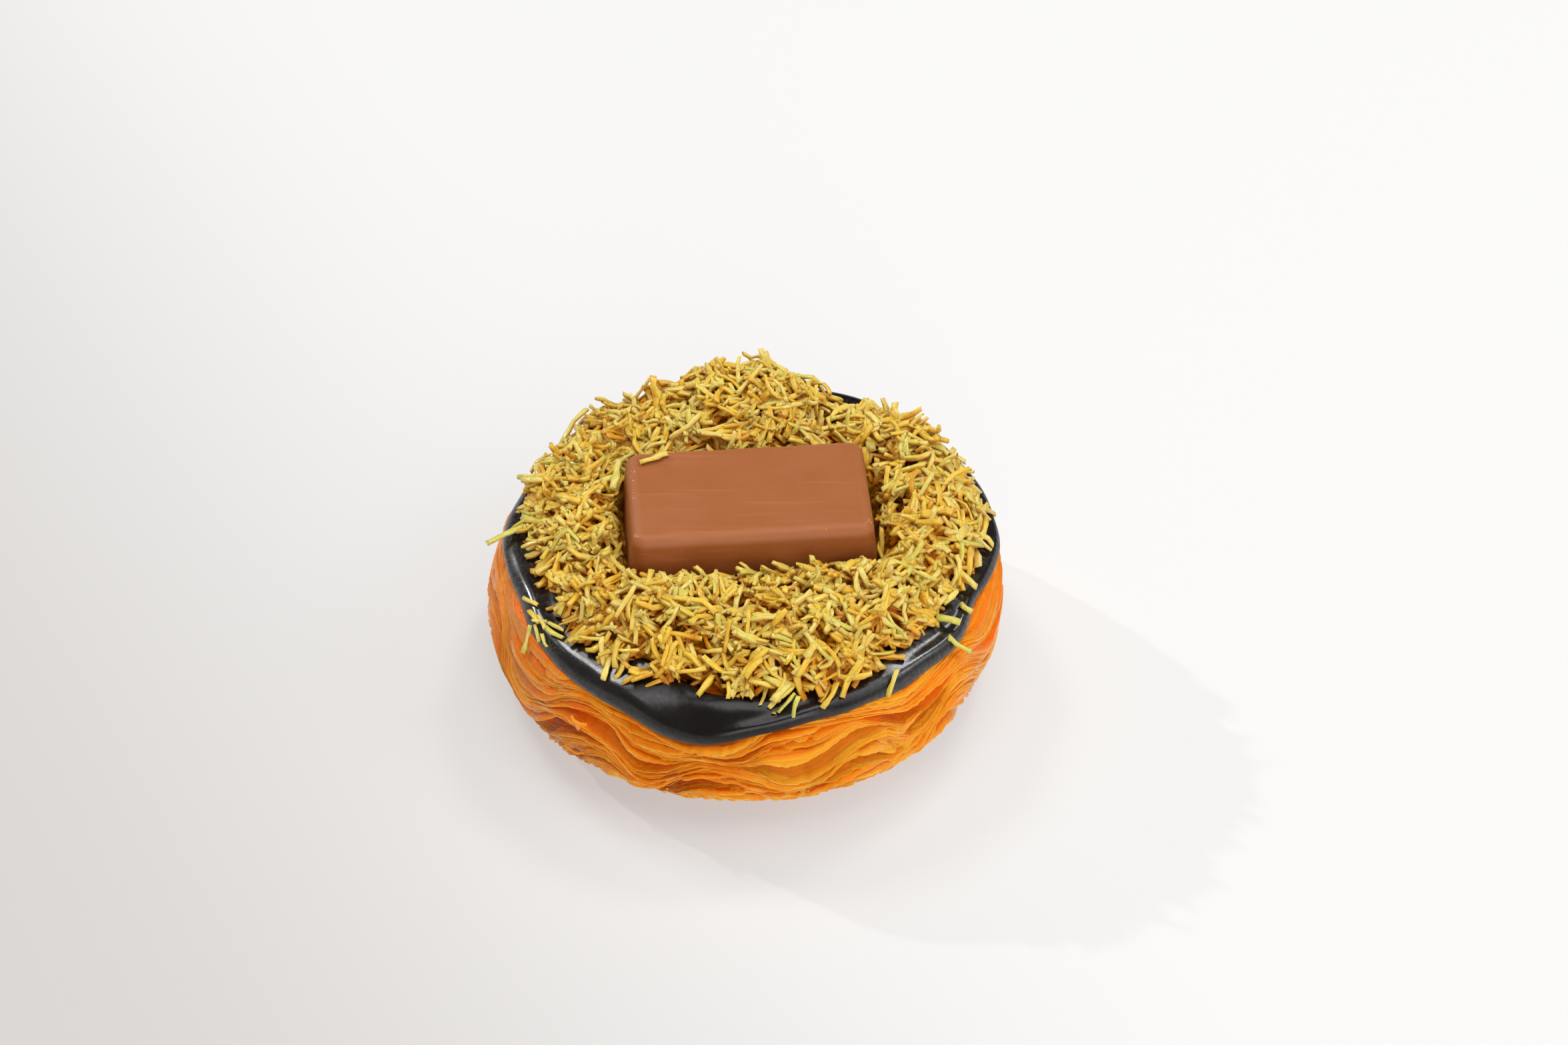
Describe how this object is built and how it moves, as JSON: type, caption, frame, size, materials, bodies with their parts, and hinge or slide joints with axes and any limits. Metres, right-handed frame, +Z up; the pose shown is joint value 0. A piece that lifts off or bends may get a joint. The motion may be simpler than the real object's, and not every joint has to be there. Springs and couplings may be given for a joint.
{
  "type": "flaky chocolate tart with kataifi",
  "caption": "Round laminated pastry to eat, its top edge coated with a ring of dark chocolate glaze, filled with a heap of chopped kataifi shreds and topped with a milk chocolate bar",
  "frame": {"origin": "centre of the bounding box's bottom face, on the surface that the pastry stands on", "axes": "+Z up; +X to the right of the picture, nearly along the chocolate bar's long side; +Y away from the camera"},
  "size_m": [0.1, 0.1012, 0.0434],
  "materials": {
    "pastry": "baked, satin leaves with pale crumbly edges",
    "dark_chocolate": "semi-gloss with fine scuffs",
    "kataifi": "toasted and slightly moist",
    "milk_chocolate": "smooth satin"
  },
  "bodies": {
    "root": {"flaky_pastry": "pastry", "dark_chocolate_glaze": "dark_chocolate", "kataifi_shreds": "kataifi", "milk_chocolate_bar": "milk_chocolate"}
  },
  "joints": []
}
